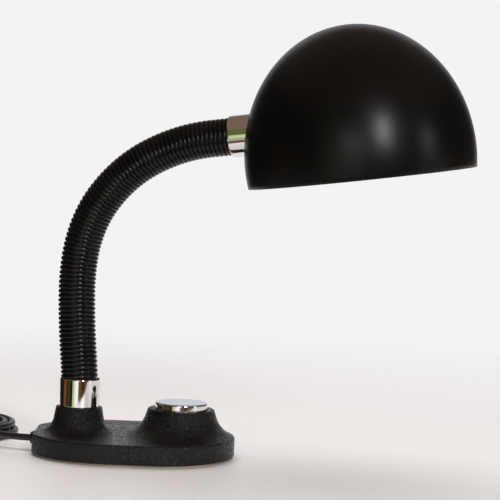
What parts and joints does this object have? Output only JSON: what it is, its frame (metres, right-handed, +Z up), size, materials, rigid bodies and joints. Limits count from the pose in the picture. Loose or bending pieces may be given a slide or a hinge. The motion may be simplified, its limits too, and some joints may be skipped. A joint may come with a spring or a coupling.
{
  "type": "desk lamp",
  "caption": "Desk lamp with an oval cast foot, a round push button, a ribbed bendable neck and a wide domed shade over a bulb.",
  "frame": {"origin": "centre of the oval foot on the floor", "axes": "+Z up, +X from the neck's end of the foot to the button's end, -Y to the viewer"},
  "size_m": [0.5632, 0.3145, 0.409],
  "materials": {
    "casting": "black wrinkle paint",
    "plate_steel": "plain sheet",
    "zinc_steel": "zinc plated",
    "felt": "pressed felt",
    "grommet": "satin",
    "inner_plastic": "matte",
    "lead_pvc": "satin",
    "collar_chrome": "polished",
    "button_chrome": "satin polished",
    "cord_pvc": "semi gloss",
    "tie_plastic": "satin",
    "plug_pvc": "satin",
    "pin_brass": "nickel plated",
    "sleeve_rubber": "semi gloss",
    "core_steel": "plain",
    "shade_paint": "satin black enamel, white inside",
    "holder_plastic": "moulded",
    "shell_brass": "plain",
    "bulb_metal": "plain",
    "bulb_glass": "clear to frosted"
  },
  "bodies": {
    "base": {"base_casting": "casting", "base_cover": "plate_steel", "cover_screws": "zinc_steel", "foot_pad": "felt", "cord_grommet": "grommet", "cord_clamp": "plate_steel", "terminal_block": "inner_plastic", "clamp_screws": "zinc_steel", "mains_leads": "lead_pvc", "switch_leads": "lead_pvc", "neck_leads": "lead_pvc", "switch_body": "inner_plastic", "switch_nut": "zinc_steel", "button_spring": "zinc_steel", "lower_collar": "collar_chrome", "lower_nipple": "zinc_steel", "lower_washer": "zinc_steel", "lower_nut": "zinc_steel", "cord_inlet": "cord_pvc", "neck_sleeve_00": "sleeve_rubber", "neck_core_00": "core_steel", "cord_lead": "cord_pvc", "cord_coil": "cord_pvc", "cord_tie": "tie_plastic", "plug_body": "plug_pvc", "plug_pins": "pin_brass"},
    "button": {"button_cap": "button_chrome", "button_plunger": "inner_plastic"},
    "neck_link_1": {"neck_sleeve_01": "sleeve_rubber", "neck_core_01": "core_steel"},
    "neck_link_2": {"neck_sleeve_02": "sleeve_rubber", "neck_core_02": "core_steel"},
    "neck_link_3": {"neck_sleeve_03": "sleeve_rubber", "neck_core_03": "core_steel"},
    "neck_link_4": {"neck_sleeve_04": "sleeve_rubber", "neck_core_04": "core_steel"},
    "neck_link_5": {"neck_sleeve_05": "sleeve_rubber", "neck_core_05": "core_steel"},
    "neck_link_6": {"neck_sleeve_06": "sleeve_rubber", "neck_core_06": "core_steel"},
    "neck_link_7": {"neck_sleeve_07": "sleeve_rubber", "neck_core_07": "core_steel"},
    "neck_link_8": {"neck_sleeve_08": "sleeve_rubber", "neck_core_08": "core_steel"},
    "neck_link_9": {"neck_sleeve_09": "sleeve_rubber", "neck_core_09": "core_steel"},
    "head": {"neck_sleeve_10": "sleeve_rubber", "neck_core_10": "core_steel", "shade": "shade_paint", "upper_collar": "collar_chrome", "upper_nipple": "zinc_steel", "upper_saddle": "zinc_steel", "upper_nut": "zinc_steel", "holder_cap": "holder_plastic", "holder_body": "holder_plastic", "holder_ring": "holder_plastic", "holder_shell": "shell_brass", "holder_contact": "shell_brass", "bulb_cap": "bulb_metal", "bulb_glass": "bulb_glass"}
  },
  "joints": [
    {"name": "neck_lower_bend", "type": "hinge", "parent": "base", "child": "neck_link_1", "pos_m": [-0.05448, 0.0006, 0.08965], "axis": [0.2588, 0.9659, 0], "range_deg": [-9, 6]},
    {"name": "neck_sway", "type": "hinge", "parent": "neck_link_1", "child": "neck_link_2", "pos_m": [-0.05709, 0.0013, 0.12044], "axis": [0.9636, -0.2582, 0.0698], "range_deg": [-9, 9]},
    {"name": "neck_lower_bend_2", "type": "hinge", "parent": "neck_link_2", "child": "neck_link_3", "pos_m": [-0.05844, 0.00166, 0.15132], "axis": [0.2588, 0.9659, 0], "range_deg": [-9, 6]},
    {"name": "neck_sway_2", "type": "hinge", "parent": "neck_link_3", "child": "neck_link_4", "pos_m": [-0.05706, 0.00129, 0.18218], "axis": [0.9597, -0.2572, -0.1132], "range_deg": [-9, 9]},
    {"name": "neck_lower_bend_3", "type": "hinge", "parent": "neck_link_4", "child": "neck_link_5", "pos_m": [-0.05036, -0.00051, 0.21224], "axis": [0.2588, 0.9659, 0], "range_deg": [-9, 6]},
    {"name": "neck_upper_bend", "type": "hinge", "parent": "neck_link_5", "child": "neck_link_6", "pos_m": [-0.03675, -0.00415, 0.23966], "axis": [0.2588, 0.9659, 0], "range_deg": [-9, 9]},
    {"name": "neck_sway_3", "type": "hinge", "parent": "neck_link_6", "child": "neck_link_7", "pos_m": [-0.01712, -0.00941, 0.26287], "axis": [0.6526, -0.1749, -0.7373], "range_deg": [-9, 9]},
    {"name": "neck_upper_bend_2", "type": "hinge", "parent": "neck_link_7", "child": "neck_link_8", "pos_m": [0.00704, -0.01589, 0.28091], "axis": [0.2588, 0.9659, 0], "range_deg": [-9, 9]},
    {"name": "neck_sway_4", "type": "hinge", "parent": "neck_link_8", "child": "neck_link_9", "pos_m": [0.0343, -0.02319, 0.29345], "axis": [0.3113, -0.0834, -0.9466], "range_deg": [-9, 9]},
    {"name": "neck_upper_bend_3", "type": "hinge", "parent": "neck_link_9", "child": "head", "pos_m": [0.0633, -0.03096, 0.3006], "axis": [0.2588, 0.9659, 0], "range_deg": [-9, 9]},
    {"name": "button_press", "type": "slide", "parent": "base", "child": "button", "axis": [0, 0, -1], "range_m": [0, 0.0035], "stiffness_N_per_m": 1500, "springref_m": -0.002, "deforming": ["button_spring"]}
  ],
  "couplings": [
    {"joint": "neck_lower_bend_2", "follows": "neck_lower_bend", "ratio": 1},
    {"joint": "neck_lower_bend_3", "follows": "neck_lower_bend", "ratio": 1},
    {"joint": "neck_sway_2", "follows": "neck_sway", "ratio": 1},
    {"joint": "neck_sway_3", "follows": "neck_sway", "ratio": 1},
    {"joint": "neck_sway_4", "follows": "neck_sway", "ratio": 1},
    {"joint": "neck_upper_bend_2", "follows": "neck_upper_bend", "ratio": 1},
    {"joint": "neck_upper_bend_3", "follows": "neck_upper_bend", "ratio": 1}
  ]
}
